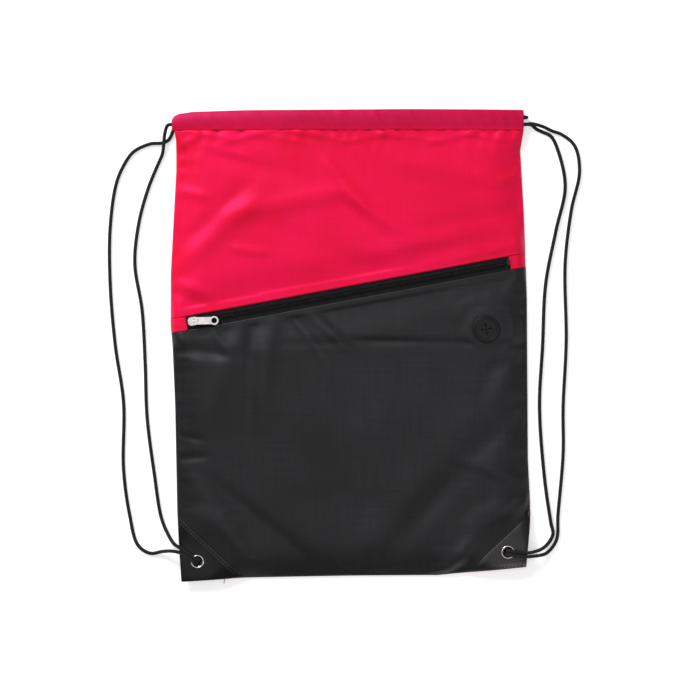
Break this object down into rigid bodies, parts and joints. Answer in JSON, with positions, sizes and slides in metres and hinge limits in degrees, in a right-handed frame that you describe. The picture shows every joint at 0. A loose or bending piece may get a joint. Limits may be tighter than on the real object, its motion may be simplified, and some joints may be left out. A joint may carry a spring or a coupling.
{
  "type": "drawstring backpack",
  "caption": "Flat drawstring backpack with a slanted zip pocket, an earbud port, corner eyelets and braided cord straps, lying on its back.",
  "frame": {"origin": "middle of the bag's outline, on the floor that the bag lies on", "axes": "+Y to the mouth, +X to the right of the front, +Z out of the front panel"},
  "size_m": [0.46, 0.458, 0.0163],
  "materials": {
    "red_cloth": "satin polyester, plain weave",
    "black_cloth": "satin polyester, plain weave",
    "lining_cloth": "matt polyester",
    "seam_thread": "overlocked thread",
    "zip_tape": "woven tape",
    "zip_coil": "nylon coil",
    "nickel": "nickel plate",
    "vinyl": "coated cloth, semi gloss",
    "port_rubber": "moulded, matt",
    "cord": "braided polyester"
  },
  "bodies": {
    "bag": {"back_panel": "red_cloth", "front_upper_panel": "red_cloth", "front_pocket_panel": "black_cloth", "pocket_lining": "lining_cloth", "front_drawstring_tunnel": "red_cloth", "back_drawstring_tunnel": "red_cloth", "side_seam_left": "seam_thread", "side_seam_right": "seam_thread", "bottom_seam": "seam_thread", "zip_end_tab_left": "red_cloth", "zip_end_tab_right": "red_cloth", "zip_tape_upper": "zip_tape", "zip_tape_lower": "zip_tape", "zip_coil_upper": "zip_coil", "zip_coil_lower": "zip_coil", "zip_top_stops": "zip_coil", "zip_bottom_stop": "zip_coil", "port_ring": "port_rubber", "corner_patch_front_left": "vinyl", "corner_patch_front_right": "vinyl", "corner_patch_back_left": "vinyl", "corner_patch_back_right": "vinyl", "eyelet_left_ring": "nickel", "eyelet_right_ring": "nickel", "eyelet_left_washer": "nickel", "eyelet_right_washer": "nickel", "left_cord_leads": "cord", "right_cord_leads": "cord", "left_cord_tunnel_run": "cord", "right_cord_tunnel_run": "cord", "left_cord_knot": "cord", "right_cord_knot": "cord"},
    "slider": {"zip_slider": "nickel"},
    "pull_tab": {"zip_pull_tab": "nickel"},
    "left_strap": {"left_strand_outer": "cord", "left_strand_inner": "cord"},
    "right_strap": {"right_strand_outer": "cord", "right_strand_inner": "cord"},
    "port_flap_a": {"port_flap_1": "port_rubber"},
    "port_flap_b": {"port_flap_2": "port_rubber"},
    "port_flap_c": {"port_flap_3": "port_rubber"},
    "port_flap_d": {"port_flap_4": "port_rubber"}
  },
  "joints": [
    {"name": "zip_slide", "type": "slide", "parent": "bag", "child": "slider", "axis": [0.9829, 0.184, 0], "range_m": [0, 0.303]},
    {"name": "pull_tab_swing", "type": "hinge", "parent": "slider", "child": "pull_tab", "pos_m": [-0.15141, 0.02404, 0.01255], "axis": [0.0244, -0.9997, 0], "range_deg": [0, 165]},
    {"name": "left_strap_lift", "type": "hinge", "parent": "bag", "child": "left_strap", "pos_m": [-0.174, 0.213, 0.009], "axis": [-0.0134, 0.9999, -0.0078], "range_deg": [0, 110]},
    {"name": "right_strap_lift", "type": "hinge", "parent": "bag", "child": "right_strap", "pos_m": [0.172, 0.215, 0.009], "axis": [0.0019, -1, 0.0077], "range_deg": [0, 110]},
    {"name": "port_flap_a_fold", "type": "hinge", "parent": "bag", "child": "port_flap_a", "pos_m": [0.13375, 0.01956, 0.0133], "axis": [0.8192, -0.5736, 0], "range_deg": [0, 50], "stiffness_Nm_per_rad": 0.0005},
    {"name": "port_flap_b_fold", "type": "hinge", "parent": "bag", "child": "port_flap_b", "pos_m": [0.12804, 0.01855, 0.0133], "axis": [0.5736, 0.8192, 0], "range_deg": [0, 50], "stiffness_Nm_per_rad": 0.0005},
    {"name": "port_flap_c_fold", "type": "hinge", "parent": "bag", "child": "port_flap_c", "pos_m": [0.12905, 0.01284, 0.0133], "axis": [-0.8192, 0.5736, 0], "range_deg": [0, 50], "stiffness_Nm_per_rad": 0.0005},
    {"name": "port_flap_d_fold", "type": "hinge", "parent": "bag", "child": "port_flap_d", "pos_m": [0.13476, 0.01385, 0.0133], "axis": [-0.5736, -0.8192, 0], "range_deg": [0, 50], "stiffness_Nm_per_rad": 0.0005}
  ]
}
